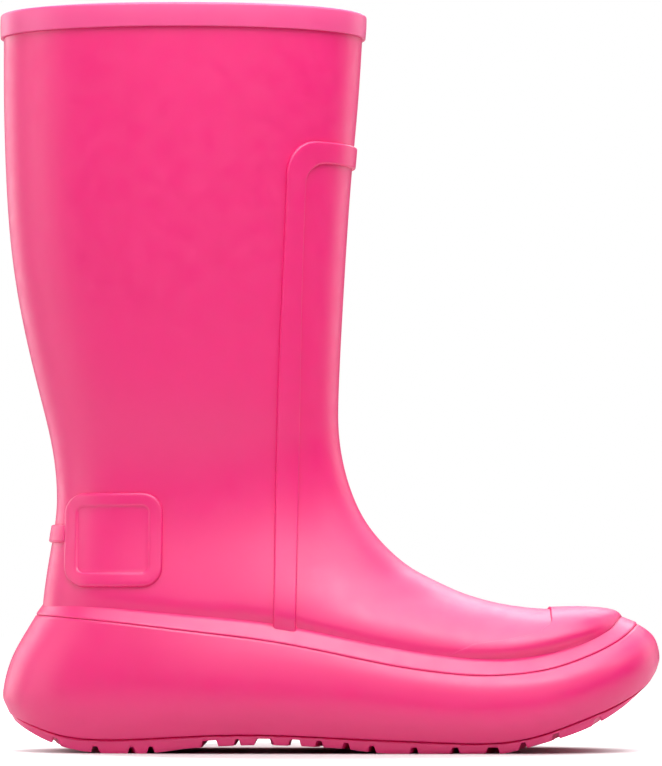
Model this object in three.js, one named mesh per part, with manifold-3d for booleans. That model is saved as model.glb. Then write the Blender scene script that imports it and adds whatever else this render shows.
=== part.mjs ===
// A pull-on rubber rain boot for the right foot, in millimetres.
//
// The frame: +X points from the heel to the toe, +Z is up, -Y is the outer (lateral) side. The origin is on
// the ground under the middle of the boot. The upper is a loft between a front rail (shin, instep, toe top)
// and a back rail (calf, heel, bottom). Everything that lies on or in the upper is cut from the same loft at
// another offset, so that neighbouring pieces keep an even gap. The sole is lofted from closed outlines that
// run round the foot.
import * as THREE from "three";
import { mergeVertices } from "three/addons/utils/BufferGeometryUtils.js";
import Module from "manifold-3d";

// Driving dimensions.
const TOP_Z = 334; // top of the collar
const GAP = 0.3; // clearance between neighbouring pieces
const WALL = 2.6; // rubber of the shaft and vamp
const LINING = 0.9; // textile sock lining
const BOARD = 2.0; // insole board
const INSOLE = 4.0; // removable foam insole
const COLLAR_HEIGHT = 10.5;
const COLLAR_PROUD = 1.5; // how far the collar stands out from the shaft
const COLLAR_CAP = 1.7; // rubber over the shaft's cut edge
const COLLAR_FLANGE = 1.2; // rubber folded down inside the lining
const TRIM_PROUD = 1.5; // front trim band, heel strap
const PLAQUE_PROUD = 1.7;
const TOE_CAP_PROUD = 1.2;
const MARGIN_WIDTH = 15; // lasting margin that the shell turns in under the foot
const COUNTER_OUT = -1.5; // stiffeners, measured from the upper's outer surface
const COUNTER_IN = -2.5;
const CORE_WALL = 11; // rubber of the midsole round its foam core
const INSOLE_SPLIT_X = 5; // the insole bends up at the front of the arch
const INSOLE_SPLIT_GAP = 0.8;
const INSOLE_TOE_X = 122;
const GROOVE_DEPTH = 2.8; // tread
const TREAD_BASE = 1.3; // rubber left above a groove
const FAR = 400; // half-length of cutting bodies
const HALF_LENGTH = 156; // a little more than half the boot

const PINK = "#f7458b";

// Resolution of the faceted solids.
const RINGS = 27; // along the upper, from rim to toe
const HALF_SEGMENTS = 15; // from the front rail to the back rail, on one side
const SOLE_SEGMENTS = 26; // from toe to heel, on one side

// The upper's stations, from above the rim to the toe tip: front rail x and z, back rail x and z,
// half-width, where along the chord it is widest, and how square the section is towards the front and back.
const STATIONS = [
  [15.2, 346, -149.0, 346, 47.5, 0.5, 2.1, 2.1],
  [12.6, 300, -149.0, 300, 46.8, 0.5, 2.1, 2.1],
  [9.3, 262, -147.9, 262, 45.6, 0.5, 2.1, 2.1],
  [6.7, 226, -145.2, 226, 44.0, 0.5, 2.1, 2.1],
  [4.6, 190, -139.2, 190, 41.8, 0.5, 2.1, 2.1],
  [3.2, 159, -131.2, 157, 39.4, 0.5, 2.1, 2.15],
  [3.6, 141, -126.0, 134, 36.6, 0.5, 2.1, 2.2],
  [6.8, 124, -124.3, 111, 35.2, 0.5, 2.1, 2.3],
  [14.2, 105.6, -127.0, 90, 37.4, 0.5, 2.1, 2.45],
  [25.2, 91.6, -130.0, 69, 41.8, 0.5, 2.1, 2.6],
  [36.0, 82.6, -128.5, 52, 45.4, 0.5, 2.1, 2.5],
  [46.4, 77.0, -112.0, 45.8, 46.6, 0.52, 2.1, 2.7],
  [56.5, 72.3, -82.0, 43.8, 46.8, 0.56, 2.1, 3.0],
  [66.6, 68.8, -50.0, 39.2, 46.8, 0.58, 2.15, 3.2],
  [77.0, 66.3, -14.0, 31.6, 47.2, 0.58, 2.2, 3.3],
  [88.0, 64.7, 25.0, 24.6, 47.8, 0.56, 2.2, 3.3],
  [98.5, 64.0, 60.0, 21.2, 47.6, 0.5, 2.3, 3.2],
  [108.5, 64.2, 86.0, 22.2, 45.2, 0.46, 2.4, 3.0],
  [117.5, 64.1, 104.5, 26.2, 39.4, 0.44, 2.4, 2.7],
  [125.4, 63.6, 118.0, 32.0, 29.6, 0.46, 2.3, 2.5],
  [130.6, 61.4, 126.6, 40.0, 18.0, 0.5, 2.2, 2.3],
  [132.8, 55.6, 131.2, 47.5, 6.6, 0.5, 2.2, 2.2],
];

// Lines seen from the side, as [x, z] points.
const BED_LINE = [
  [-131, 47], [-112, 45.8], [-82, 43.8], [-50, 39.2], [-14, 31.6], [25, 24.6], [60, 21.2], [86, 22.2],
  [104.5, 26.2], [117, 31.4], [133, 43],
]; // underside of the upper
const FOXING_TOP = [
  [-131, 68.3], [-106, 65.7], [-62, 61.1], [-22, 56.7], [7, 50.7], [28, 46.5], [50, 43.1], [70, 41.8],
  [86, 42.7], [102, 46.3], [113, 50.3], [119, 53.4], [124, 56.9], [129.5, 62.9],
];
const FOXING_FOOT = [
  [-134.5, 61.8], [-101, 58.8], [-62, 54.3], [-22, 49], [7, 43.2], [28, 39], [50, 35.9], [66, 34.8],
  [81, 35.4], [97, 37.8], [112, 42.6], [123, 47.4], [131.5, 52.4], [139, 58.4],
];
const BELLY = [
  [-149.4, 27], [-100, 28], [-40, 26.5], [10, 23], [50, 19], [85, 20], [120, 29.5], [149.4, 43.5],
]; // where the midsole is widest
const PARTING = [
  [-147.2, 17.8], [-131, 11.3], [-121, 8.2], [-101, 6.2], [-62, 7.8], [-32, 8.4], [7, 6.8], [49, 5],
  [72, 4.8], [90, 7.6], [103, 11.8], [113, 15.6], [123, 19.6], [134, 25.2], [144, 33], [149, 39.2],
]; // between midsole and outsole
const TREAD = [
  [-146, 16.2], [-136, 10], [-126, 5.2], [-116, 2], [-106, 0.4], [-98, 0], [-84, 0], [-60, 2.6], [-32, 3.8],
  [0, 2.6], [28, 0], [74, 0], [82, 1.4], [90, 3.6], [100, 6.4], [110, 9.8], [119, 13.8], [128, 19.2],
  [136, 25.2], [147.5, 36.4],
]; // underside of the lugs

// How far each outline of the sole stands out from the foxing's top line, against x.
const FOXING_FOOT_OUT = [
  [-131, 4], [-100, 4.8], [-60, 4.4], [0, 4.4], [60, 5], [100, 5.8], [118, 6.8], [129, 9.8],
];
const BELLY_OUT = [
  [-131, 19.4], [-112, 12.8], [-60, 10], [0, 9.4], [60, 10], [100, 12.4], [122, 16.6], [131, 21],
];
const PARTING_OUT = [
  [-131, 16.8], [-112, 8.6], [-60, 4.2], [0, 3.6], [60, 4.8], [100, 8.4], [122, 14.6], [131, 20.2],
];
const TREAD_OUT = [
  [-131, 14.6], [-112, 6.2], [-60, 1.4], [0, 0.8], [60, 2.2], [100, 5.8], [122, 12], [131, 17.4],
];

// A right foot turns in towards the toe, and is fuller at the outer side behind the ball.
const TOE_SWING = 5;
const SIDE_SHIFT = 3.3; // brings the middle of the sole's width over the origin
const OUTER_BULGE = 1.4;
const INNER_BULGE = 1.2;

// The wall curls in over the foxing: how far, and from how high above it, against x.
const CURL_DEPTH = [
  [-131, 0.5], [-112, 0.9], [-60, 1.2], [-20, 1.2], [-4, 1], [14, 0.6], [30, 0.4], [46, 0.4], [58, 0.8],
  [80, 1.1], [110, 1], [122, 0.7], [130, 0.1],
];
const CURL_RISE = [[-131, 8], [-40, 7], [0, 5], [64, 5], [78, 5], [95, 6], [132, 6]];

const wasm = await Module();
wasm.setup();

// ---------------------------------------------------------------- curves

// A smooth function through [key, value] points that stays level where the points are level.
function through(points) {
  const secant = points.slice(1).map((p, i) => (p[1] - points[i][1]) / (p[0] - points[i][0]));
  const slope = points.map((_, i) => {
    if (i === 0) return secant[0];
    if (i === points.length - 1) return secant[i - 1];
    const [a, b] = [secant[i - 1], secant[i]];
    return a * b <= 0 ? 0 : (2 * a * b) / (a + b);
  });
  return (key) => {
    const x = THREE.MathUtils.clamp(key, points[0][0], points.at(-1)[0]);
    const i = Math.max(points.findIndex((p) => p[0] >= x) - 1, 0);
    const span = points[i + 1][0] - points[i][0];
    const s = (x - points[i][0]) / span;
    const rise = points[i + 1][1] - points[i][1];
    const [m0, m1] = [slope[i] * span, slope[i + 1] * span];
    return points[i][1] + s * (m0 + s * (3 * rise - 2 * m0 - m1 + s * (m0 + m1 - 2 * rise)));
  };
}

const bedLine = through(BED_LINE);
const foxingTop = through(FOXING_TOP);
const foxingFoot = through(FOXING_FOOT);
const belly = through(BELLY);
const parting = through(PARTING);
const tread = through(TREAD);
const curlDepth = through(CURL_DEPTH);
const curlRise = through(CURL_RISE);
const columns = STATIONS[0].map((_, c) => through(STATIONS.map((row, i) => [i, row[c]])));

function swing(x) {
  return TOE_SWING * THREE.MathUtils.smoothstep(x, -10, 130) - SIDE_SHIFT;
}

// How much wider the foot is on one side than the plain section says. side is -1 outer, 1 inner.
function bulge(x, z, side) {
  const low = 1 - THREE.MathUtils.smoothstep(z, 50, 85);
  const centre = side < 0 ? 30 : 62;
  return (side < 0 ? OUTER_BULGE : INNER_BULGE) * low * Math.exp(-(((x - centre) / 42) ** 2));
}

// How far the wall is drawn in at (x, z): most at the foxing, and nothing above the rise.
function curl(x, z) {
  const above = THREE.MathUtils.clamp((z - foxingTop(x)) / curlRise(x), 0, 1);
  return curlDepth(x) * (1 - above) ** 2;
}

// ---------------------------------------------------------------- the upper's surface

function station(t) {
  const [frontX, frontZ, backX, backZ, half, widest, frontPower, backPower] = columns.map((c) => c(t));
  return { frontX, frontZ, backX, backZ, half, widest, frontPower, backPower };
}

// A point of the section at t: angle 0 is on the front rail, PI on the back rail.
function upperPoint(t, angle, side) {
  const s = station(t);
  const [c, w] = [Math.cos(angle), Math.sin(angle)];
  const power = c > 0 ? s.frontPower : s.backPower;
  const reach = Math.abs(c) ** (2 / power);
  const u = c > 0 ? s.widest * (1 - reach) : s.widest + (1 - s.widest) * reach;
  const x = THREE.MathUtils.lerp(s.frontX, s.backX, u);
  const z = THREE.MathUtils.lerp(s.frontZ, s.backZ, u);
  const y = side * Math.abs(w) ** (2 / power) * (s.half + bulge(x, z, side) - curl(x, z));
  return new THREE.Vector3(x, y + swing(x), z);
}

// The upper's half-width where a side view shows it at (x, z), without the curl, or 0 outside its outline.
function halfWidthAt(x, z, side) {
  let [low, high] = [0, STATIONS.length - 1];
  for (let i = 0; i < 40; i++) {
    const t = (low + high) / 2;
    const s = station(t);
    const past = (s.backX - s.frontX) * (z - s.frontZ) - (s.backZ - s.frontZ) * (x - s.frontX) > 0;
    if (past) low = t;
    else high = t;
  }
  const s = station(low);
  const [cx, cz] = [s.backX - s.frontX, s.backZ - s.frontZ];
  const u = ((x - s.frontX) * cx + (z - s.frontZ) * cz) / (cx * cx + cz * cz);
  if (u <= 0 || u >= 1) return 0;
  const front = u < s.widest;
  const away = front ? 1 - u / s.widest : (u - s.widest) / (1 - s.widest);
  const power = front ? s.frontPower : s.backPower;
  return (1 - away ** power) ** (1 / power) * (s.half + bulge(x, z, side));
}

// ---------------------------------------------------------------- solids

// A closed geometry from rings of equal length. A ring starts at the front, runs down the outer side to the
// back and returns up the inner side, and each end is closed by strips from side to side.
function loft(rings) {
  const count = rings[0].length;
  const position = rings.flat().flatMap((p) => p.toArray());
  const index = [];
  const quad = (a, b, c, d) => index.push(a, b, c, a, c, d);
  for (let r = 0; r + 1 < rings.length; r++) {
    for (let i = 0; i < count; i++) {
      const j = (i + 1) % count;
      quad(r * count + i, r * count + j, (r + 1) * count + j, (r + 1) * count + i);
    }
  }
  for (const [start, flip] of [[0, true], [(rings.length - 1) * count, false]]) {
    for (let i = 0; i < count / 2; i++) {
      const [a, b] = [start + i, start + i + 1];
      const [c, d] = [start + ((count - i - 1) % count), start + ((count - i) % count)];
      if (flip) index.push(c, b, a, d, c, a);
      else quad(a, b, c, d);
    }
  }
  const geometry = new THREE.BufferGeometry();
  geometry.setAttribute("position", new THREE.Float32BufferAttribute(position, 3));
  geometry.setIndex(index);
  return geometry;
}

function solid(geometry) {
  const bare = geometry.clone();
  bare.deleteAttribute("normal");
  bare.deleteAttribute("uv");
  const merged = mergeVertices(bare, 1e-4);
  const vertProperties = merged.attributes.position.array;
  const triVerts = new Uint32Array(merged.index.array);
  const build = () => new wasm.Manifold(new wasm.Mesh({ numProp: 3, vertProperties, triVerts }));
  const made = build();
  if (made.volume() > 0) return made;
  for (let i = 0; i < triVerts.length; i += 3) {
    [triVerts[i + 1], triVerts[i + 2]] = [triVerts[i + 2], triVerts[i + 1]];
  }
  return build();
}

// The whole upper as one filled body, with its surface moved out by a distance (in, if it is negative).
const upperGeometry = (() => {
  const rings = [];
  for (let r = 0; r < RINGS; r++) {
    const t = (r / (RINGS - 1)) * (STATIONS.length - 1);
    const ring = [];
    for (let i = 0; i < 2 * HALF_SEGMENTS; i++) {
      const outer = i <= HALF_SEGMENTS;
      const step = outer ? i : 2 * HALF_SEGMENTS - i;
      ring.push(upperPoint(t, (step * Math.PI) / HALF_SEGMENTS, outer ? -1 : 1));
    }
    rings.push(ring);
  }
  const geometry = loft(rings);
  geometry.computeVertexNormals();
  return geometry;
})();
// The fourth ring starts on the shin, where an outward normal points forward.
const shinNormalX = upperGeometry.attributes.normal.getX(3 * 2 * HALF_SEGMENTS);
const facesOut = Math.sign(shinNormalX);
const offsets = new Map();
function upper(distance) {
  if (!offsets.has(distance)) {
    const moved = upperGeometry.clone();
    const { position, normal } = moved.attributes;
    const [p, n] = [new THREE.Vector3(), new THREE.Vector3()];
    for (let i = 0; i < position.count; i++) {
      p.fromBufferAttribute(position, i);
      n.fromBufferAttribute(normal, i);
      p.addScaledVector(n, facesOut * distance);
      position.setXYZ(i, p.x, p.y, p.z);
    }
    offsets.set(distance, solid(moved));
  }
  return offsets.get(distance);
}

const layer = (inner, outer) => upper(outer).subtract(upper(inner));

// A body of the outline (a closed list of [x, z] points, seen from the side) between two values of y.
function sidePrism(outline, fromY = -FAR, toY = FAR) {
  const shape = new THREE.Shape(outline.map(([x, z]) => new THREE.Vector2(x, z)));
  const geometry = new THREE.ExtrudeGeometry(shape, { depth: toY - fromY, bevelEnabled: false });
  geometry.rotateX(Math.PI / 2); // shape (x, y) and depth z become (x, z) and depth -y
  geometry.translate(0, toY, 0);
  return solid(geometry);
}

// A body of the plan outline (a closed list of [x, y] points) between two heights.
function planPrism(outline, fromZ, toZ) {
  const shape = new THREE.Shape(outline.map(([x, y]) => new THREE.Vector2(x, y)));
  const geometry = new THREE.ExtrudeGeometry(shape, { depth: toZ - fromZ, bevelEnabled: false });
  geometry.translate(0, 0, fromZ);
  return solid(geometry);
}

const slab = (fromZ, toZ) => planPrism([[-FAR, -FAR], [FAR, -FAR], [FAR, FAR], [-FAR, FAR]], fromZ, toZ);

// Everything between two lines drawn along the boot, seen from the side.
function between(floor, ceiling) {
  const [start, end, steps] = [-HALF_LENGTH, HALF_LENGTH, 39];
  const keys = Array.from({ length: steps + 1 }, (_, i) => THREE.MathUtils.lerp(start, end, i / steps));
  return sidePrism([...keys.map((x) => [x, floor(x)]), ...keys.map((x) => [x, ceiling(x)]).reverse()]);
}

const raised = (line, rise) => (x) => line(x) + rise;
const aboveBed = (rise) => between(raised(bedLine, rise), () => FAR);
const bedSlice = (fromRise, toRise) => between(raised(bedLine, fromRise), raised(bedLine, toRise));

// ---------------------------------------------------------------- the sole's outlines

// Where the foxing's top line leaves the upper's outline, searching outwards from inside it.
function foxingEnd(insideX, outsideX) {
  let [inside, outside] = [insideX, outsideX];
  for (let i = 0; i < 30; i++) {
    const x = (inside + outside) / 2;
    if (halfWidthAt(x, foxingTop(x), 1) > 0) inside = x;
    else outside = x;
  }
  return inside;
}

// One side of the foxing's top line from toe to heel, evenly spaced, as points and outward plan normals.
function foxingSide(side) {
  const fine = 400;
  const [toe, heel] = [foxingEnd(100, 140), foxingEnd(-100, -140)];
  const points = [];
  for (let i = 0; i <= fine; i++) {
    const x = (toe + heel) / 2 + ((toe - heel) / 2) * Math.cos((i * Math.PI) / fine);
    const y = i === 0 || i === fine ? 0 : side * halfWidthAt(x, foxingTop(x), side);
    points.push(new THREE.Vector2(x, y + swing(x)));
  }
  const spaced = new THREE.Path(points).getSpacedPoints(SOLE_SEGMENTS);
  return spaced.map((p, i) => {
    const before = spaced[Math.max(i - 1, 0)];
    const after = spaced[Math.min(i + 1, SOLE_SEGMENTS)];
    const along = after.clone().sub(before).normalize();
    const out = new THREE.Vector2(side * -along.y, side * along.x).multiplyScalar(-1);
    if (i === 0) out.set(1, 0);
    if (i === SOLE_SEGMENTS) out.set(-1, 0);
    return { p, out };
  });
}
const foxingSides = { outer: foxingSide(-1), inner: foxingSide(1) };

// A closed ring round the foot: the foxing's top line moved out, at the height that a line gives for its x.
function soleRing(outPoints, height, extraOut = 0, extraRise = 0) {
  const out = through(outPoints);
  const place = ({ p, out: n }) => {
    const d = out(p.x) + extraOut;
    const [x, y] = [p.x + n.x * d, p.y + n.y * d];
    return new THREE.Vector3(x, y, height(x) + extraRise);
  };
  const outer = foxingSides.outer.map(place);
  const inner = foxingSides.inner.map(place).slice(1, -1).reverse();
  return [...outer, ...inner];
}

// A ring between two others. The share of the way sideways differs from the heel to the toe.
const mixRings = (a, b, heelSideways, toeSideways, upwards) =>
  a.map((p, i) => {
    const q = b[i];
    const toe = THREE.MathUtils.smoothstep(p.x, -110, 110);
    const sideways = THREE.MathUtils.lerp(heelSideways, toeSideways, toe);
    return new THREE.Vector3(
      THREE.MathUtils.lerp(p.x, q.x, sideways),
      THREE.MathUtils.lerp(p.y, q.y, sideways),
      THREE.MathUtils.lerp(p.z, q.z, upwards),
    );
  });

const NO_OFFSET = [[-131, 0], [131, 0]];
const inBand = GAP / 2;

function soleBody() {
  const foot = soleRing(PARTING_OUT, parting, 0, inBand);
  const widest = soleRing(BELLY_OUT, belly);
  const head = soleRing(FOXING_FOOT_OUT, foxingFoot, 0, -inBand);
  return solid(
    loft([
      foot,
      mixRings(foot, widest, 0.68, 0.68, 0.42),
      widest,
      mixRings(widest, head, 0.23, 0.12, 0.4),
      mixRings(widest, head, 0.65, 0.46, 0.75),
      head,
    ]),
  );
}

function foxingBody(grow = 0) {
  const foot = soleRing(FOXING_FOOT_OUT, foxingFoot, grow, inBand);
  const head = soleRing(CURL_DEPTH.map(([x, depth]) => [x, -depth - 0.6]), foxingTop, grow, grow + 0.6);
  return solid(loft([foot, head]));
}

function treadBody() {
  const foot = soleRing(TREAD_OUT, tread);
  const head = soleRing(PARTING_OUT, parting, 0, -inBand);
  return solid(loft([foot, head]));
}

// The foam core's body: the midsole drawn in by its wall, grown to make the core's pocket.
function coreBody(grow) {
  const floorThickness = 5;
  const foot = soleRing(PARTING_OUT, parting, grow - CORE_WALL, floorThickness - grow);
  const widest = soleRing(BELLY_OUT, belly, grow - CORE_WALL - 1);
  const head = soleRing(NO_OFFSET, bedLine, grow - CORE_WALL + 3, 3 + grow);
  return solid(loft([foot, widest, head]));
}

// ---------------------------------------------------------------- pieces of the upper

const shaftTop = TOP_Z - COLLAR_CAP - GAP;
const underRim = slab(-10, shaftTop);
const liningOut = -WALL - GAP;
const liningIn = liningOut - LINING;
const boardFoot = WALL + GAP;
const liningFoot = boardFoot + BOARD + GAP;
const insoleFoot = liningFoot + LINING + GAP;

// Where the heel counter and the toe puff lie, seen from the side.
function heelRegion(grow) {
  const top = 96 + grow;
  const back = -HALF_LENGTH;
  return sidePrism([[back, 0], [-62 + grow, 0], [-70 + grow, 78], [-100 + grow, top], [back, top]]);
}

function toeRegion(grow) {
  const rear = 92 - grow;
  return sidePrism([[HALF_LENGTH, 0], [rear, 0], [rear, 100], [HALF_LENGTH, 100]]);
}

// The opening inside the lasting margin, from a depth below the bed line to a height above it.
function marginOpening(inset, below, above) {
  const opening = soleRing(NO_OFFSET, bedLine, -MARGIN_WIDTH - inset);
  const level = (rise) => opening.map((p) => new THREE.Vector3(p.x, p.y, p.z + rise));
  return solid(loft([level(-below), level(above)]));
}

function upperShell() {
  const hollow = upper(-WALL);
  const window = marginOpening(0, 12, WALL + 3);
  const pockets = layer(COUNTER_IN - 1, COUNTER_OUT + GAP)
    .intersect(heelRegion(GAP).add(toeRegion(GAP)))
    .intersect(aboveBed(liningFoot - GAP));
  return upper(0).intersect(underRim).subtract(hollow).subtract(window).subtract(pockets);
}

function sockLining() {
  const skin = upper(liningOut).intersect(aboveBed(liningFoot));
  const room = upper(liningIn).intersect(aboveBed(liningFoot + LINING));
  return skin.subtract(room).intersect(underRim);
}

function collarBand() {
  const foot = TOP_Z - COLLAR_HEIGHT;
  const inner = liningIn - GAP;
  const band = layer(inner - COLLAR_FLANGE, COLLAR_PROUD).intersect(slab(foot, TOP_Z));
  const slot = layer(inner, GAP).intersect(slab(foot - 5, shaftTop + GAP));
  return band.subtract(slot);
}

// Points of a quarter round, from one direction (degrees) to another.
function arc(cx, cz, radius, from, to, steps = 8) {
  return Array.from({ length: steps + 1 }, (_, i) => {
    const a = THREE.MathUtils.degToRad(THREE.MathUtils.lerp(from, to, i / steps));
    return [cx + radius * Math.cos(a), cz + radius * Math.sin(a)];
  });
}

// The trim's outline: up from the foxing, round a corner, and forward over the shin.
function trimOutline() {
  const [head, foot] = [273.2, 263.4];
  const [outerR, innerR] = [14, 10];
  const back = through([[50, -25.6], [156, -24.2], [217, -21.8], [252, -20.4], [262, -20.2]]);
  const front = through([[50, -16], [156, -14.4], [217, -13.2], [245, -12.2], [258, -11.6]]);
  const heights = [66, 110, 156, 190, 217, 236];
  const low = 50;
  const backX = back(head - outerR);
  const frontX = front(foot - innerR);
  return [
    [back(low), foxingTop(back(low)) + 0.4],
    ...heights.map((z) => [back(z), z]),
    ...arc(backX + outerR, head - outerR, outerR, 180, 90),
    [FAR, head],
    [FAR, foot],
    ...arc(frontX + innerR, foot - innerR, innerR, 90, 180),
    ...heights.map((z) => [front(z), z]).reverse(),
    [front(low), foxingTop(front(low)) + 0.4],
  ];
}

function frontTrimBand() {
  return layer(GAP, TRIM_PROUD).intersect(sidePrism(trimOutline())).subtract(foxingBody(GAP));
}

// The toe cap's rear edge runs from the top of the toe down and back to the foxing.
function toeCap() {
  const seam = new THREE.SplineCurve(
    [[97, 75], [98, 62], [96.5, 56.5], [90, 52.5], [77, 50], [63, 47.6], [50, foxingTop(50) + 0.5]].map(
      ([x, z]) => new THREE.Vector2(x, z),
    ),
  ).getPoints(18);
  const keys = Array.from({ length: 16 }, (_, i) => THREE.MathUtils.lerp(52, 129.5, i / 15));
  const outline = [
    ...seam.map((p) => [p.x, p.y]),
    ...keys.map((x) => [x, foxingTop(x) + 0.5]),
    [HALF_LENGTH, 75],
  ];
  return layer(GAP, TOE_CAP_PROUD).intersect(sidePrism(outline)).subtract(foxingBody(GAP));
}

const strapLine = (x) => 97.8 - 0.03 * (x + 126);
const STRAP_HALF = 4;
const PLAQUE = { x: -97, z: 94.5, halfWidth: 22, halfHeight: 21, corner: 9, border: 6, sunk: 0.6 };

function roundedRectangle({ x, z, halfWidth, halfHeight, corner }, inset = 0) {
  const [w, h, r] = [halfWidth - inset, halfHeight - inset, Math.max(corner - inset, 2)];
  return [
    ...arc(x + w - r, z + h - r, r, 0, 90, 5),
    ...arc(x - w + r, z + h - r, r, 90, 180, 5),
    ...arc(x - w + r, z - h + r, r, 180, 270, 5),
    ...arc(x + w - r, z - h + r, r, 270, 360, 5),
  ];
}

function heelStrap() {
  const start = -HALF_LENGTH;
  const strip = (endX, endRound) => [
    [start, strapLine(start) - STRAP_HALF],
    [endX, strapLine(endX) - STRAP_HALF],
    ...(endRound ? arc(endX, strapLine(endX), STRAP_HALF, -70, 70, 6) : []),
    [endX, strapLine(endX) + STRAP_HALF],
    [start, strapLine(start) + STRAP_HALF],
  ];
  const outerSide = sidePrism(strip(PLAQUE.x - PLAQUE.halfWidth - GAP, false), -FAR, 0.01);
  const innerSide = sidePrism(strip(-72, true), 0, FAR);
  return layer(GAP, TRIM_PROUD).intersect(outerSide.add(innerSide));
}

function heelPlaque() {
  const plate = layer(GAP, PLAQUE_PROUD).intersect(sidePrism(roundedRectangle(PLAQUE), -FAR, 0));
  const recess = layer(PLAQUE_PROUD - PLAQUE.sunk, PLAQUE_PROUD + 1);
  return plate.subtract(recess.intersect(sidePrism(roundedRectangle(PLAQUE, PLAQUE.border), -FAR, 0)));
}

// Stiffeners between the rubber and the lining, in pockets of the shell's inner wall.
function heelCounter() {
  return layer(COUNTER_IN, COUNTER_OUT).intersect(heelRegion(0)).intersect(aboveBed(liningFoot));
}

function toePuff() {
  return layer(COUNTER_IN, COUNTER_OUT).intersect(toeRegion(0)).intersect(aboveBed(liningFoot));
}

// ---------------------------------------------------------------- pieces under the foot

function insoleBoard() {
  return upper(liningOut).intersect(bedSlice(boardFoot, boardFoot + BOARD));
}

const insoleTop = insoleFoot + INSOLE;
const beforeX = (x) => sidePrism([[-FAR, -FAR], [x, -FAR], [x, FAR], [-FAR, FAR]]);
const afterX = (x) => sidePrism([[x, -FAR], [FAR, -FAR], [FAR, FAR], [x, FAR]]);
const insoleBody = () =>
  upper(liningIn - 2 * GAP).intersect(bedSlice(insoleFoot, insoleTop)).intersect(beforeX(INSOLE_TOE_X));

const SHANK = { fromX: -84, toX: 6, halfWidth: 9, thickness: 1.8 };

function shankBody(grow) {
  const { fromX, toX, halfWidth, thickness } = SHANK;
  const plan = planPrism(
    roundedRectangle({
      x: (fromX + toX) / 2,
      z: 0,
      halfWidth: (toX - fromX) / 2 + grow,
      halfHeight: halfWidth + grow,
      corner: halfWidth * 0.8,
    }),
    0,
    80,
  );
  const top = WALL - GAP;
  return plan.intersect(bedSlice(top - thickness - grow, grow > 0 ? WALL + 20 : top));
}

// The foam fills the sole's hollow and rises through the shell's window to the insole board.
function midsoleCore() {
  const plateau = marginOpening(GAP, 4, WALL + 3).intersect(bedSlice(-6, WALL - GAP / 2));
  const block = coreBody(0).subtract(upper(GAP));
  return block.add(plateau).subtract(shankBody(GAP));
}

function midsole() {
  return soleBody().subtract(upper(GAP)).subtract(coreBody(GAP));
}

function foxingBand() {
  return foxingBody().subtract(upper(GAP));
}

// Grooves across the sole: x at the sole's edge, width, and how far the middle lies ahead of the edge.
const GROOVES = [
  [-121.5, 3, -8], [-105, 3, -8], [-89.5, 2.6, -8], [-80.5, 2.6, -8], [-57, 7, 0], [-42.4, 2.4, 0],
  [-34, 7.6, 0], [-18.2, 5, 0], [-6, 3, 6], [6, 3, 8], [17, 3, 10], [36, 3.4, 12], [54, 3.4, 12],
  [70, 5.4, 12], [84, 3, 12], [98.5, 3, 12], [116, 3, 12], [131, 2.4, 10],
];
const MIDDLE_GROOVES = [[-104, -84], [20, 118]]; // along the sole, from x to x
const MIDDLE_GROOVE_WIDTH = 5;

function outsole() {
  const edge = 45;
  const across = ([x, width, lead]) =>
    planPrism(
      [
        [x - lead, -2 * edge],
        [x + lead, 0],
        [x - lead, 2 * edge],
        [x - lead + width, 2 * edge],
        [x + lead + width, 0],
        [x - lead + width, -2 * edge],
      ],
      -5,
      60,
    );
  const along = ([fromX, toX]) => {
    const w = MIDDLE_GROOVE_WIDTH / 2;
    return planPrism([[fromX, -w], [toX, -w], [toX, w], [fromX, w]], -5, 60);
  };
  const cuts = [...GROOVES.map(across), ...MIDDLE_GROOVES.map(along)];
  const pattern = cuts.reduce((sum, cut) => sum.add(cut));
  const ceiling = (x) => Math.min(tread(x) + GROOVE_DEPTH, parting(x) - TREAD_BASE);
  return treadBody().subtract(pattern.intersect(between(() => -5, ceiling)));
}

// ---------------------------------------------------------------- the boot

const finishes = {
  rubber: new THREE.MeshStandardMaterial({ color: PINK, roughness: 0.5, metalness: 0 }),
  textile: new THREE.MeshStandardMaterial({ color: "#e8a0bd", roughness: 0.95, metalness: 0 }),
  foam: new THREE.MeshStandardMaterial({ color: "#efe9e4", roughness: 0.9, metalness: 0 }),
  board: new THREE.MeshStandardMaterial({ color: "#b9a588", roughness: 0.9, metalness: 0 }),
  stiffener: new THREE.MeshStandardMaterial({ color: "#d9d4c8", roughness: 0.7, metalness: 0 }),
  steel: new THREE.MeshStandardMaterial({ color: "#9a9da1", roughness: 0.35, metalness: 1 }),
};

const boot = new THREE.Group();
function piece(name, finish, body) {
  const { vertProperties, triVerts } = body.getMesh();
  const geometry = new THREE.BufferGeometry();
  geometry.setAttribute("position", new THREE.BufferAttribute(vertProperties, 3));
  geometry.setIndex(new THREE.BufferAttribute(triVerts, 1));
  const mesh = new THREE.Mesh(geometry, finishes[finish]);
  mesh.name = name;
  boot.add(mesh);
}

piece("upper_shell", "rubber", upperShell());
piece("sock_lining", "textile", sockLining());
piece("collar_band", "rubber", collarBand());
piece("front_trim_band", "rubber", frontTrimBand());
piece("toe_cap", "rubber", toeCap());
piece("heel_strap", "rubber", heelStrap());
piece("heel_plaque", "rubber", heelPlaque());
piece("foxing_band", "rubber", foxingBand());
piece("midsole", "rubber", midsole());
piece("outsole", "rubber", outsole());
piece("midsole_core", "foam", midsoleCore());
piece("heel_counter", "stiffener", heelCounter());
piece("toe_puff", "stiffener", toePuff());
piece("insole_board", "board", insoleBoard());
piece("shank", "steel", shankBody(0));
piece("insole_forepart", "textile", insoleBody().intersect(afterX(INSOLE_SPLIT_X + INSOLE_SPLIT_GAP)));
piece("insole_heelpart", "textile", insoleBody().intersect(beforeX(INSOLE_SPLIT_X)));

export default boot;
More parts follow.
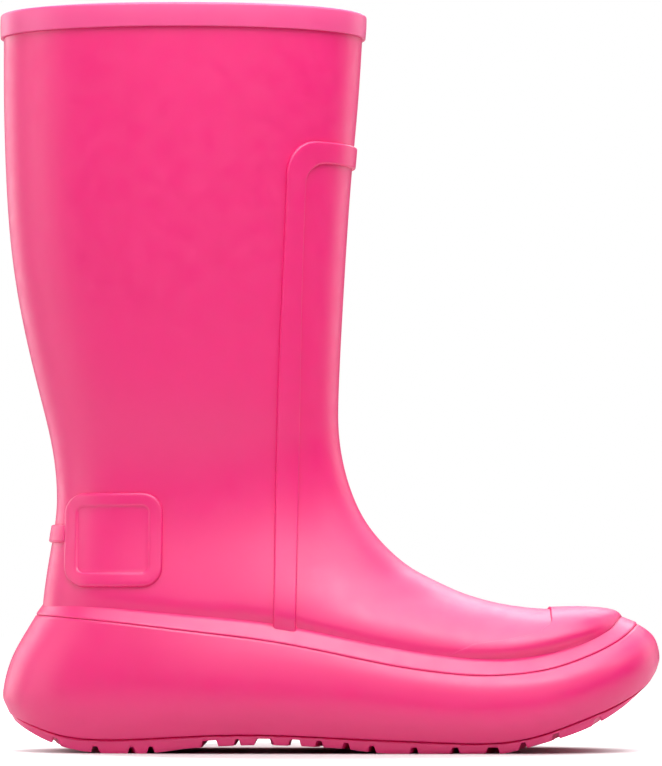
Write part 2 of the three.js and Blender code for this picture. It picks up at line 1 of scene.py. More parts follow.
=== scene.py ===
"""A pull-on rubber rain boot for the right foot: the smooth, finished pieces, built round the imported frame.

Lengths in this script are millimetres until a mesh is made, and metres for the floor, lights and camera.
The frame: +X heel to toe, +Z up, -Y is the outer side. The upper is a loft between a front rail and a back
rail. A place on it is a pair (t, angle): t runs from the rim to the toe, and the angle from 0 on the front
rail to PI on the back rail, negative on the outer side.
"""

import math

import bmesh
import bpy
import numpy as np
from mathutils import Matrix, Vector

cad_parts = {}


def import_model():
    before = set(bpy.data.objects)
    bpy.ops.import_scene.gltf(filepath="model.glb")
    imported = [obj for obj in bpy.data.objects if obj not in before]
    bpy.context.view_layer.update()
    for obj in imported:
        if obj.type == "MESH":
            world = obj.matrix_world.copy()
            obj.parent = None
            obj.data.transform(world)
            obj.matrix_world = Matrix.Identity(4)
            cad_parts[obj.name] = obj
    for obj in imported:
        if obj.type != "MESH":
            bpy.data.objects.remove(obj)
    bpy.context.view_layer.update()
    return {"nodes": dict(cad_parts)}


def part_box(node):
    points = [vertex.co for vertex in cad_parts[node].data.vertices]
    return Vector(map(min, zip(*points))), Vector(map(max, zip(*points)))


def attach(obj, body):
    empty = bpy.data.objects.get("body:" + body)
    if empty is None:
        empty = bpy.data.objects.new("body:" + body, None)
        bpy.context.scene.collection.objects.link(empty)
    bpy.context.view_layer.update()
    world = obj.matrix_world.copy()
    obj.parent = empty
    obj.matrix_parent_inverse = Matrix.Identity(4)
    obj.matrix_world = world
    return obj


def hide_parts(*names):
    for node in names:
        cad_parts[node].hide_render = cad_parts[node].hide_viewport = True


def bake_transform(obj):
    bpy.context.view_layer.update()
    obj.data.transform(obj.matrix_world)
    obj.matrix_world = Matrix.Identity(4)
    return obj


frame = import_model()

MM = 0.001
BODY = "boot"

# ------------------------------------------------------------------ driving dimensions, as in the CAD model

TOP_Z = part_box("collar_band")[1][2] / MM
WALL = 2.6
GAP = 0.3  # between one layer and the next
LINING = 0.9
INSOLE = 4.0
BOARD = 2.0
COLLAR_HEIGHT = 10.5
COLLAR_PROUD = 1.5  # the PROUD values say how far a raised piece stands out from the upper
TRIM_PROUD = 1.5
PLAQUE_PROUD = 1.5
TOE_CAP_PROUD = 1.0
INSOLE_TOE_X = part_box("insole_forepart")[1][0] / MM
INSOLE_HEEL_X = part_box("insole_heelpart")[0][0] / MM
GROOVE_DEPTH = 2.8
TREAD_BASE = 1.3  # rubber left between a groove and the midsole

# Stations of the upper: front rail x and z, back rail x and z, half-width, where along the chord it is
# widest, and how square the section is towards the front and towards the back.
STATIONS = [
    [15.2, 346, -149.0, 346, 47.5, 0.5, 2.1, 2.1],
    [12.6, 300, -149.0, 300, 46.8, 0.5, 2.1, 2.1],
    [9.3, 262, -147.9, 262, 45.6, 0.5, 2.1, 2.1],
    [6.7, 226, -145.2, 226, 44.0, 0.5, 2.1, 2.1],
    [4.6, 190, -139.2, 190, 41.8, 0.5, 2.1, 2.1],
    [3.2, 159, -131.2, 157, 39.4, 0.5, 2.1, 2.15],
    [3.6, 141, -126.0, 134, 36.6, 0.5, 2.1, 2.2],
    [6.8, 124, -124.3, 111, 35.2, 0.5, 2.1, 2.3],
    [14.2, 105.6, -127.0, 90, 37.4, 0.5, 2.1, 2.45],
    [25.2, 91.6, -130.0, 69, 41.8, 0.5, 2.1, 2.6],
    [36.0, 82.6, -128.5, 52, 45.4, 0.5, 2.1, 2.5],
    [46.4, 77.0, -112.0, 45.8, 46.6, 0.52, 2.1, 2.7],
    [56.5, 72.3, -82.0, 43.8, 46.8, 0.56, 2.1, 3.0],
    [66.6, 68.8, -50.0, 39.2, 46.8, 0.58, 2.15, 3.2],
    [77.0, 66.3, -14.0, 31.6, 47.2, 0.58, 2.2, 3.3],
    [88.0, 64.7, 25.0, 24.6, 47.8, 0.56, 2.2, 3.3],
    [98.5, 64.0, 60.0, 21.2, 47.6, 0.5, 2.3, 3.2],
    [108.5, 64.2, 86.0, 22.2, 45.2, 0.46, 2.4, 3.0],
    [117.5, 64.1, 104.5, 26.2, 39.4, 0.44, 2.4, 2.7],
    [125.4, 63.6, 118.0, 32.0, 29.6, 0.46, 2.3, 2.5],
    [130.6, 61.4, 126.6, 40.0, 18.0, 0.5, 2.2, 2.3],
    [132.8, 55.6, 131.2, 47.5, 6.6, 0.5, 2.2, 2.2],
]

# Lines seen from the side, as [x, z] points.
BED_LINE = [
    [-131, 47], [-112, 45.8], [-82, 43.8], [-50, 39.2], [-14, 31.6], [25, 24.6], [60, 21.2], [86, 22.2],
    [104.5, 26.2], [117, 31.4], [133, 43],
]
FOXING_TOP = [
    [-131, 68.3], [-106, 65.7], [-62, 61.1], [-22, 56.7], [7, 50.7], [28, 46.5], [50, 43.1], [70, 41.8],
    [86, 42.7], [102, 46.3], [113, 50.3], [119, 53.4], [124, 56.9], [129.5, 62.9],
]
FOXING_FOOT = [
    [-134.5, 61.8], [-101, 58.8], [-62, 54.3], [-22, 49], [7, 43.2], [28, 39], [50, 35.9], [66, 34.8],
    [81, 35.4], [97, 37.8], [112, 42.6], [123, 47.4], [131.5, 52.4], [139, 58.4],
]
BELLY = [
    [-149.4, 27], [-100, 28], [-40, 26.5], [10, 23], [50, 19], [85, 20], [120, 29.5], [149.4, 43.5],
]
PARTING = [
    [-147.2, 17.8], [-131, 11.3], [-121, 8.2], [-101, 6.2], [-62, 7.8], [-32, 8.4], [7, 6.8], [49, 5],
    [72, 4.8], [90, 7.6], [103, 11.8], [113, 15.6], [123, 19.6], [134, 25.2], [144, 33], [149, 39.2],
]
TREAD = [
    [-146, 16.2], [-136, 10], [-126, 5.2], [-116, 2], [-106, 0.4], [-98, 0], [-84, 0], [-60, 2.6],
    [-32, 3.8], [0, 2.6], [28, 0], [74, 0], [82, 1.4], [90, 3.6], [100, 6.4], [110, 9.8], [119, 13.8],
    [128, 19.2], [136, 25.2], [147.5, 36.4],
]

# How far each outline of the sole stands out from the foxing's top line, against x.
FOXING_FOOT_OUT = [
    [-131, 4], [-100, 4.8], [-60, 4.4], [0, 4.4], [60, 5], [100, 5.8], [118, 6.8], [129, 9.8],
]
BELLY_OUT = [
    [-131, 19.4], [-112, 12.8], [-60, 10], [0, 9.4], [60, 10], [100, 12.4], [122, 16.6], [131, 21],
]
PARTING_OUT = [
    [-131, 16.8], [-112, 8.6], [-60, 4.2], [0, 3.6], [60, 4.8], [100, 8.4], [122, 14.6], [131, 20.2],
]
TREAD_OUT = [
    [-131, 14.6], [-112, 6.2], [-60, 1.4], [0, 0.8], [60, 2.2], [100, 5.8], [122, 12], [131, 17.4],
]

TOE_SWING = 5  # how far the toe turns towards the inner side
SWING_RANGE = -10, 130  # x where the turn starts and where it is complete
SIDE_SHIFT = 3.3  # how far the whole boot lies to the outer side, which centres it
OUTER_BULGE, OUTER_BULGE_X = 1.4, 30
INNER_BULGE, INNER_BULGE_X = 1.2, 62
BULGE_REACH = 42
BULGE_FADE = 50, 85  # heights between which the bulges die away

# How far the wall turns in where it meets the foxing, and how far above it that starts, against x.
CURL_DEPTH = [
    [-131, 0.5], [-112, 0.9], [-60, 1.2], [-20, 1.2], [-4, 1.0], [14, 0.6], [30, 0.4], [46, 0.4],
    [58, 0.8], [80, 1.1], [110, 1.0], [122, 0.7], [130, 0.1],
]
CURL_RISE = [
    [-131, 8], [-40, 7], [0, 5], [64, 5], [78, 5], [95, 6], [132, 6],
]

# ------------------------------------------------------------------ curves


def smoothstep(x, low, high):
    """0 below low, 1 above high, and an S-curve between them."""
    s = np.clip((x - low) / (high - low), 0, 1)
    return s * s * (3 - 2 * s)


def lerp(a, b, s):
    return a + (b - a) * s


def through(points):
    """A smooth function through [key, value] points that stays level where the points are level."""
    x, y = np.array(points, float).T
    secant = np.diff(y) / np.diff(x)
    slope = np.concatenate([secant[:1], np.zeros(len(x) - 2), secant[-1:]])
    product = secant[:-1] * secant[1:]
    total = secant[:-1] + secant[1:]
    inner = np.where(product > 0, 2 * product / np.where(product > 0, total, 1), 0)
    slope[1:-1] = inner

    def value(key):
        q = np.clip(key, x[0], x[-1])
        i = np.clip(np.searchsorted(x, q, side="right") - 1, 0, len(x) - 2)
        span = x[i + 1] - x[i]
        s = (q - x[i]) / span
        m0, m1 = slope[i] * span, slope[i + 1] * span
        rise = y[i + 1] - y[i]
        return y[i] + s * (m0 + s * (3 * rise - 2 * m0 - m1 + s * (m0 + m1 - 2 * rise)))

    return value


def spline(points):
    """A natural cubic spline through [key, value] points: curvature has no jumps, so highlights run clean."""
    x, y = np.array(points, float).T
    n, h = len(x), np.diff(x)
    matrix, right = np.eye(n), np.zeros(n)
    for i in range(1, n - 1):
        matrix[i, i - 1 : i + 2] = h[i - 1], 2 * (h[i - 1] + h[i]), h[i]
        right[i] = 6 * ((y[i + 1] - y[i]) / h[i] - (y[i] - y[i - 1]) / h[i - 1])
    bend = np.linalg.solve(matrix, right)

    def value(key):
        q = np.clip(key, x[0], x[-1])
        i = np.clip(np.searchsorted(x, q, side="right") - 1, 0, n - 2)
        b = (q - x[i]) / h[i]
        a = 1 - b
        return a * y[i] + b * y[i + 1] + ((a**3 - a) * bend[i] + (b**3 - b) * bend[i + 1]) * h[i] ** 2 / 6

    return value


bed_line = spline(BED_LINE)
foxing_top = spline(FOXING_TOP)
foxing_foot = spline(FOXING_FOOT)
belly = spline(BELLY)
parting = spline(PARTING)
tread = through(TREAD)
curl_depth = through(CURL_DEPTH)
curl_rise = through(CURL_RISE)
COLUMNS = [spline([[i, row[c]] for i, row in enumerate(STATIONS)]) for c in range(8)]
LAST_T = len(STATIONS) - 1


def swing(x):
    """How far the foot's middle line has turned towards the inner side."""
    return TOE_SWING * smoothstep(x, *SWING_RANGE) - SIDE_SHIFT


def bulge(x, z, side):
    """The extra fullness low on each side of the forefoot."""
    low = 1 - smoothstep(z, *BULGE_FADE)
    centre = np.where(side < 0, OUTER_BULGE_X, INNER_BULGE_X)
    size = np.where(side < 0, OUTER_BULGE, INNER_BULGE)
    return size * low * np.exp(-(((x - centre) / BULGE_REACH) ** 2))


def curl(x, z):
    """How far the wall has turned in at a height: none above the rise, most where it meets the foxing."""
    above = np.clip((z - foxing_top(x)) / curl_rise(x), 0, 1)
    return curl_depth(x) * (1 - above) ** 2


# ------------------------------------------------------------------ the upper's surface


def upper_point(t, angle):
    """Points of the upper at arrays of t and signed angle."""
    front_x, front_z, back_x, back_z, half, widest, front_power, back_power = [c(t) for c in COLUMNS]
    side = np.where(angle < 0, -1.0, 1.0)
    c, w = np.cos(angle), np.abs(np.sin(angle))
    power = np.where(c > 0, front_power, back_power)
    reach = np.abs(c) ** (2 / power)
    u = np.where(c > 0, widest * (1 - reach), widest + (1 - widest) * reach)
    x, z = lerp(front_x, back_x, u), lerp(front_z, back_z, u)
    y = side * w ** (2 / power) * (half + bulge(x, z, side) - curl(x, z))
    return np.stack([x, y + swing(x), z], -1)


def upper_normal(t, angle):
    """Outward unit normals, by small differences that stay inside the surface's range."""
    dt, da = 0.02, 0.02
    t0, t1 = np.clip(t - dt, 0, LAST_T), np.clip(t + dt, 0, LAST_T)
    along = upper_point(t1, angle) - upper_point(t0, angle)
    around = upper_point(t, wrap(angle + da)) - upper_point(t, wrap(angle - da))
    n = np.cross(along, around)
    return n / np.maximum(np.linalg.norm(n, axis=-1, keepdims=True), 1e-9)


def wrap(angle):
    """The same direction as an angle from -PI to PI."""
    return (angle + math.pi) % (2 * math.pi) - math.pi


def upper(t, angle, out=0.0):
    """Points that stand out from the upper by a distance, which may be an array."""
    out = np.asarray(out, float)
    return upper_point(t, angle) + upper_normal(t, angle) * out[..., None]


def chart(x, z, side):
    """The place (t, angle) on one side of the upper that a side view shows at (x, z)."""
    x, z = np.broadcast_arrays(np.asarray(x, float), np.asarray(z, float))
    low, high = np.zeros(x.shape), np.full(x.shape, float(LAST_T))
    for _ in range(40):
        t = (low + high) / 2
        front_x, front_z, back_x, back_z = [c(t) for c in COLUMNS[:4]]
        past = (back_x - front_x) * (z - front_z) - (back_z - front_z) * (x - front_x) > 0
        low, high = np.where(past, t, low), np.where(past, high, t)
    front_x, front_z, back_x, back_z, _, widest, front_power, back_power = [c(low) for c in COLUMNS]
    cx, cz = back_x - front_x, back_z - front_z
    u = np.clip(((x - front_x) * cx + (z - front_z) * cz) / (cx * cx + cz * cz), 0, 1)
    front = u < widest
    reach = np.where(front, 1 - u / widest, (u - widest) / (1 - widest))
    cosine = reach ** (np.where(front, front_power, back_power) / 2)
    return low, side * np.arccos(np.clip(np.where(front, cosine, -cosine), -1, 1))


def half_width(x, z, side):
    """The upper's half-width at (x, z) without the curl, or 0 outside its outline."""
    t, angle = chart(x, z, side)
    front_x, front_z, back_x, back_z, half, widest, front_power, back_power = [c(t) for c in COLUMNS]
    power = np.where(np.cos(angle) > 0, front_power, back_power)
    return np.abs(np.sin(angle)) ** (2 / power) * (half + bulge(x, z, side))


def t_at_front(z):
    """t where the front rail has the height z, on the shaft."""
    low, high = 0.0, 9.0
    for _ in range(40):
        t = (low + high) / 2
        low, high = (t, high) if COLUMNS[1](t) > z else (low, t)
    return low


def t_at_rim(z):
    """t for heights near the rim, where the stations lie level."""
    return (STATIONS[0][1] - z) / (STATIONS[0][1] - STATIONS[1][1])


# ------------------------------------------------------------------ meshes


def make(name, points, faces, material, body=BODY, stands_for=(), slot="pink_rubber"):
    """A piece from points in millimetres, with the CAD nodes it stands for and its body. The slot is not
    used.
    """
    mesh = bpy.data.meshes.new(name)
    mesh.from_pydata((np.asarray(points) * MM).tolist(), [], faces)
    mesh.validate()
    shape = bmesh.new()
    shape.from_mesh(mesh)
    bmesh.ops.recalc_face_normals(shape, faces=shape.faces)
    shape.to_mesh(mesh)
    shape.free()
    mesh.shade_smooth()
    mesh.materials.append(material)
    piece = bpy.data.objects.new(name, mesh)
    bpy.context.collection.objects.link(piece)
    if stands_for:
        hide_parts(*stands_for)
    if body:
        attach(piece, body)
    return piece


def quads(rows, columns, close_rows=False, close_columns=False, start=0):
    """Faces of a grid of points stored row by row."""
    faces = []
    for r in range(rows if close_rows else rows - 1):
        a0, b0 = start + r * columns, start + ((r + 1) % rows) * columns
        for c in range(columns if close_columns else columns - 1):
            d = (c + 1) % columns
            faces.append((a0 + c, a0 + d, b0 + d, b0 + c))
    return faces


def flipped(faces):
    """The faces turned over."""
    return [tuple(reversed(f)) for f in faces]


def sweep(name, grid, material, **options):
    """A ring of closed sections: grid[i, j] is point j of section i, and both directions close."""
    rows, columns = grid.shape[:2]
    return make(name, grid.reshape(-1, 3), quads(rows, columns, True, True), material, **options)


def beam(name, grid, material, **options):
    """An open run of closed sections with a flat cap at each end."""
    rows, columns = grid.shape[:2]
    faces = quads(rows, columns, False, True)
    faces.append(tuple(range(columns)))
    faces.append(tuple(reversed(range((rows - 1) * columns, rows * columns))))
    return make(name, grid.reshape(-1, 3), faces, material, **options)


def resample(path, count):
    """The points of a polyline again, evenly spaced."""
    path = np.asarray(path, float)
    s = np.concatenate([[0], np.cumsum(np.linalg.norm(np.diff(path, axis=0), axis=1))])
    q = np.linspace(0, s[-1], count)
    return np.stack([np.interp(q, s, path[:, k]) for k in range(path.shape[1])], -1)


# ------------------------------------------------------------------ materials

PINK = (0.86, 0.004, 0.18, 1)
PINK_DEEP = (0.82, 0.004, 0.165, 1)
# The collar's pinks are lighter than the upper's: painted light, for the extra light the top of the boot
# catches from above.
COLLAR_PAINTED_LIGHT_PINK = (0.88, 0.07, 0.27, 1)
COLLAR_PAINTED_LIGHT_PINK_DEEP = (0.85, 0.062, 0.25, 1)


class Nodes:
    """Short names for building a node tree."""

    def __init__(self, name):
        self.material = bpy.data.materials.new(name)
        self.material.use_nodes = True
        self.tree = self.material.node_tree
        self.shader = self.tree.nodes["Principled BSDF"]
        self.place = self.add("ShaderNodeTexCoord").outputs["Object"]

    def add(self, kind, **values):
        node = self.tree.nodes.new(kind)
        for key, value in values.items():
            if hasattr(node, key):
                setattr(node, key, value)
            else:
                node.inputs[key.replace("_", " ")].default_value = value
        return node

    def link(self, source, target):
        self.tree.links.new(source, target)

    def noise(self, scale, detail=3.0, roughness=0.5):
        """Noise over the object's own coordinates. The scale is in cells to the metre."""
        node = self.add("ShaderNodeTexNoise", Scale=scale, Detail=detail, Roughness=roughness)
        self.link(self.place, node.inputs["Vector"])
        return node.outputs["Fac"]

    def spread(self, fac, low, high):
        """Maps 0.3 to 0.7, where noise mostly lies, onto low to high."""
        node = self.add("ShaderNodeMapRange")
        for socket, value in zip(("From Min", "From Max", "To Min", "To Max"), (0.3, 0.7, low, high)):
            node.inputs[socket].default_value = value
        self.link(fac, node.inputs["Value"])
        return node.outputs["Result"]

    def mix(self, fac, first, second, target):
        """Sends a colour between first and second to the target."""
        node = self.add("ShaderNodeMix", data_type="RGBA")
        node.inputs["A"].default_value = first
        node.inputs["B"].default_value = second
        self.link(fac, node.inputs["Factor"])
        self.link(node.outputs["Result"], target)

    def bump(self, height, strength, distance, under=None):
        """Normals bumped by a height from 0 to 1 that spans a distance, over the normals under it."""
        node = self.add("ShaderNodeBump")
        node.inputs["Strength"].default_value = strength
        node.inputs["Distance"].default_value = distance
        self.link(height, node.inputs["Height"])
        if under is not None:
            self.link(under, node.inputs["Normal"])
        return node.outputs["Normal"]


def rubber(name, first=PINK, second=PINK_DEEP, rough=0.42):
    """Matt moulded rubber: faint mottling, uneven gloss, a fine grain and slow moulding waves."""
    n = Nodes(name)
    n.mix(n.spread(n.noise(38), 0, 0.5), first, second, n.shader.inputs["Base Color"])
    n.link(n.spread(n.noise(140, 4), rough - 0.04, rough + 0.05), n.shader.inputs["Roughness"])
    waves = n.bump(n.noise(22, 2), 0.05, 0.0006)
    grain = n.bump(n.noise(2600, 2), 0.10, 0.00006, waves)
    n.link(grain, n.shader.inputs["Normal"])
    n.shader.inputs["IOR"].default_value = 1.5
    n.shader.inputs["Specular IOR Level"].default_value = 1.0
    n.shader.inputs["Subsurface Weight"].default_value = 0.12
    n.shader.inputs["Subsurface Radius"].default_value = (1.0, 0.25, 0.4)
    n.shader.inputs["Subsurface Scale"].default_value = 0.003
    return n.material


def knit(name, light, dark, rows="Z", pitch=1.1 * MM):
    """A fine knitted textile: two crossed waves make the stitches, and noise makes the yarn fuzzy."""
    n = Nodes(name)
    heights = []
    for direction, scale in (("X", 0.16 / pitch), (rows, 0.22 / pitch)):
        wave = n.add("ShaderNodeTexWave", wave_type="BANDS", bands_direction=direction)
        wave.inputs["Scale"].default_value = scale
        wave.inputs["Distortion"].default_value = 0.6
        wave.inputs["Detail Scale"].default_value = 3
        n.link(n.place, wave.inputs["Vector"])
        heights.append(wave.outputs["Fac"])
    product = n.add("ShaderNodeMath", operation="MULTIPLY")
    n.link(heights[0], product.inputs[0])
    n.link(heights[1], product.inputs[1])
    n.mix(product.outputs[0], dark, light, n.shader.inputs["Base Color"])
    n.link(n.spread(n.noise(300), 0.86, 1.0), n.shader.inputs["Roughness"])
    stitches = n.bump(product.outputs[0], 0.6, 0.0003)
    n.link(n.bump(n.noise(3000), 0.3, 0.0001, stitches), n.shader.inputs["Normal"])
    n.shader.inputs["Sheen Weight"].default_value = 0.3
    n.shader.inputs["Sheen Roughness"].default_value = 0.5
    return n.material


def grainy(name, first, second, scale, rough, metallic=0.0):
    """Board, foam, moulded stiffener or steel: two tones, uneven gloss and a grain."""
    n = Nodes(name)
    n.mix(n.spread(n.noise(scale, 4), 0, 1), first, second, n.shader.inputs["Base Color"])
    n.link(n.spread(n.noise(scale * 3), rough - 0.06, rough + 0.06), n.shader.inputs["Roughness"])
    n.link(n.bump(n.noise(scale * 4, 3), 0.3, 0.0002), n.shader.inputs["Normal"])
    n.shader.inputs["Metallic"].default_value = metallic
    return n.material


pink_rubber = rubber("moulded_rubber")
# The binding's rubber in the lighter pinks: painted light on the boot's top.
collar_painted_light_rubber = rubber("collar_painted_light_rubber", COLLAR_PAINTED_LIGHT_PINK, COLLAR_PAINTED_LIGHT_PINK_DEEP)
lining_knit = knit("lining_knit", (0.86, 0.30, 0.46, 1), (0.62, 0.13, 0.27, 1))
insole_knit = knit("insole_knit", (0.88, 0.42, 0.56, 1), (0.66, 0.22, 0.36, 1), "Y", 0.9 * MM)
HIDDEN_FINISHES = {
    "midsole_core": grainy("sole_foam", (0.86, 0.8, 0.76, 1), (0.74, 0.68, 0.64, 1), 900, 0.85),
    "heel_counter": grainy("stiffener", (0.7, 0.66, 0.58, 1), (0.6, 0.56, 0.48, 1), 400, 0.6),
    "insole_board": grainy("fibre_board", (0.48, 0.37, 0.24, 1), (0.36, 0.27, 0.17, 1), 500, 0.9),
    "shank": grainy("spring_steel", (0.5, 0.51, 0.53, 1), (0.36, 0.37, 0.39, 1), 250, 0.35, 1.0),
}
HIDDEN_FINISHES["toe_puff"] = HIDDEN_FINISHES["heel_counter"]
for node, finish in HIDDEN_FINISHES.items():
    hidden = frame["nodes"][node]
    hidden.data.materials.clear()
    hidden.data.materials.append(finish)

# ------------------------------------------------------------------ the upper and what lies on it

AROUND = 256


def angles_round(count=AROUND):
    """Evenly spaced angles round the upper, from the back rail."""
    return -math.pi + 2 * math.pi * np.arange(count) / count


def upper_skin(top_z, out, rows, last=LAST_T):
    """A grid over the upper from a level rim down to the toe tip, closing round it."""
    t = np.linspace(t_at_rim(top_z), last, rows)[:, None]
    a = angles_round()[None, :]
    t, a = np.broadcast_arrays(t, a)
    return upper(t, a, np.full(t.shape, float(out)))


def thick_skin(name, top_z, outer_out, inner_out, rows, inner_rows, material, **options):
    """An open-topped shell: an outer skin, an inner skin, a rim between them, and a cap at each toe end."""
    outer = upper_skin(top_z, outer_out, rows)
    inner = upper_skin(top_z, inner_out, inner_rows)
    count = AROUND
    points = np.concatenate([outer.reshape(-1, 3), inner.reshape(-1, 3)])
    start = rows * count
    faces = flipped(quads(rows, count, False, True))
    faces += quads(inner_rows, count, False, True, start)
    for c in range(count):
        d = (c + 1) % count
        faces.append((c, d, start + d, start + c))
    for last_row, turned in (((rows - 1) * count, False), (start + (inner_rows - 1) * count, True)):
        half = count // 2
        for c in range(half):
            a, b = last_row + c, last_row + c + 1
            e, f = last_row + (count - c - 1) % count, last_row + (count - c) % count
            face = tuple(dict.fromkeys((a, b, e, f)))
            faces.append(tuple(reversed(face)) if turned else face)
    return make(name, points, faces, material, **options)


shaft_top = TOP_Z - 2.0
thick_skin("boot_upper", shaft_top, 0, -WALL, 300, 110, pink_rubber, stands_for=["upper_shell"])
thick_skin(
    "knitted_lining",
    shaft_top,
    -WALL - GAP,
    -WALL - GAP - LINING,
    80,
    150,
    lining_knit,
    stands_for=["sock_lining"],
    slot="textile_lining",
)


def rounded_section(corners, steps=5):
    """A closed outline of (out, height) corners, each rounded by its own radius."""
    outline = []
    count = len(corners)
    for i, (x, z, radius) in enumerate(corners):
        here = np.array([x, z], float)
        before = np.array(corners[i - 1][:2], float) - here
        after = np.array(corners[(i + 1) % count][:2], float) - here
        before, after = before / np.linalg.norm(before), after / np.linalg.norm(after)
        if radius <= 0:
            outline.append(here)
            continue
        half = math.acos(np.clip(np.dot(before, after), -1, 1)) / 2
        reach = radius / math.tan(half)
        start, end = here + before * reach, here + after * reach
        for k in range(steps + 1):
            s = k / steps
            outline.append((1 - s) ** 2 * start + 2 * s * (1 - s) * here + s * s * end)
    return np.array(outline)


def collar():
    """A moulded binding folded over the shaft's cut edge, with an eased top and a crisp lower edge."""
    foot = TOP_Z - COLLAR_HEIGHT
    inner = -WALL - 2 * GAP - LINING
    section = rounded_section(
        [
            (COLLAR_PROUD, foot, 0.35),
            (COLLAR_PROUD + 0.15, foot + COLLAR_HEIGHT / 2, 0),
            (COLLAR_PROUD, TOP_Z, 1.5),
            (inner - 1.2, TOP_Z, 1.3),
            (inner - 1.2, foot, 0.4),
            (inner, foot, 0.2),
            (inner, shaft_top + 0.1, 0),
            (0.1, shaft_top + 0.1, 0),
            (0.1, foot, 0.1),
        ]
    )
    t = t_at_rim(section[:, 1])[None, :]
    a = angles_round()[:, None]
    t, a, out = np.broadcast_arrays(t, a, section[None, :, 0])
    # The binding is made in the lighter rubber, whose colour paints on the light from above.
    sweep("collar_binding", upper(t, a, out), collar_painted_light_rubber, stands_for=["collar_band"])


collar()


UNDER = -0.5  # how deep a raised piece's underside sits in the wall, so that no gap shows
SHOULDER = 0.8  # width of a raised band's rounded shoulder
CROWN = 0.06


def band_section(width, proud, count_each=9):
    """Fractions across a raised band and its distances out: steep sides, shoulders and a crowned top."""
    s = np.linspace(0, 1, count_each)
    across = SHOULDER * (1 - np.cos(s * math.pi / 2)) / width
    up = proud * np.sin(s * math.pi / 2) ** 0.8
    middle = np.linspace(across[-1], 1 - across[-1], 7)[1:-1]
    crown = proud + CROWN * np.sin(np.linspace(0, math.pi, 7)[1:-1])
    fractions = np.concatenate([[0], across, middle, 1 - across[::-1], [1]])
    return fractions, np.concatenate([[UNDER], up, crown, up[::-1], [UNDER]])


def band(name, first, second, width, proud, **options):
    """A raised band between two edges, which are arrays of places (t, angle) on the upper."""
    fractions, up = band_section(width, proud)
    t = lerp(first[:, 0][:, None], second[:, 0][:, None], fractions)
    a = lerp(first[:, 1][:, None], second[:, 1][:, None], fractions)
    t, a, out = np.broadcast_arrays(t, a, up[None, :])
    return beam(name, upper(t, a, out), pink_rubber, **options)


def quarter(cx, cz, rx, rz, start, end, count):
    """Points of an elliptical arc between two angles in degrees."""
    a = np.radians(np.linspace(start, end, count))
    return np.stack([cx + rx * np.cos(a), cz + rz * np.sin(a)], -1)


TRIM_TOP, TRIM_FOOT = 273.2, 263.4  # heights of the strip's edges over the shin
TRIM_WIDTH = 9.6  # the strip's usual width, which sets how its shoulders are shared out
TRIM_OUTER_CORNER, TRIM_INNER_CORNER = (13.5, 16), (10, 10)
TRIM_SUNK = 4.0  # the ends run down behind the foxing


def trim():
    """The strip up the outer side, over the shin, and down the inner side."""
    back = spline([[40, -25.8], [156, -24.2], [217, -21.8], [252, -20.4], [262, -20.2]])
    front = spline([[30, -15.9], [156, -14.4], [217, -13.2], [245, -12.2], [258, -11.6]])

    def edge(line, level, rx, rz):
        """One edge of the strip: up the line, round the corner and level over the shin, then mirrored."""
        start = foxing_top(line(50)) - TRIM_SUNK
        z = np.linspace(start, level - rz, 120)
        upright = np.stack([line(z), z], -1)
        corner = quarter(line(level - rz) + rx, level - rz, rx, rz, 180, 90, 28)[1:]
        side_view = np.concatenate([upright, corner])
        t, a = chart(side_view[:, 0], side_view[:, 1], -1)
        over = np.linspace(a[-1], 0, 30)[1:]
        t_over = np.full(over.shape, t_at_front(level))
        blend = smoothstep(np.arange(len(over)), 0, 6)
        t_over = lerp(t[-1], t_over, blend)
        t, a = np.concatenate([t, t_over]), np.concatenate([a, over])
        half = np.stack([t, a], -1)
        other = half[::-1][1:] * [1, -1]
        return np.concatenate([half, other])

    outer = edge(back, TRIM_TOP, *TRIM_OUTER_CORNER)
    inner = edge(front, TRIM_FOOT, *TRIM_INNER_CORNER)
    band("shin_trim", outer, inner, TRIM_WIDTH, TRIM_PROUD, stands_for=["front_trim_band"])


trim()

STRAP_HALF = 4.0
STRAP_END_X = -72.0
STRAP_X, STRAP_Z, STRAP_FALL = -126, 97.8, 0.03  # a place on its middle line, and its fall towards the toe
STRAP_TUCK = 0.4  # how far it runs in under the plaque's edge
STRAP_STEPS = 90
STRAP_T = 4.0, 10.0  # values of t between which the strap's height is found
PLAQUE_X, PLAQUE_Z = -97.0, 94.5
PLAQUE_HALF_WIDTH, PLAQUE_HALF_HEIGHT, PLAQUE_CORNER = 22.0, 21.0, 9.0
PLAQUE_BORDER, PLAQUE_SUNK = 6.0, 0.7


def strap_line(x):
    """The height of the strap's middle, seen from the side."""
    return STRAP_Z - STRAP_FALL * (x - STRAP_X)


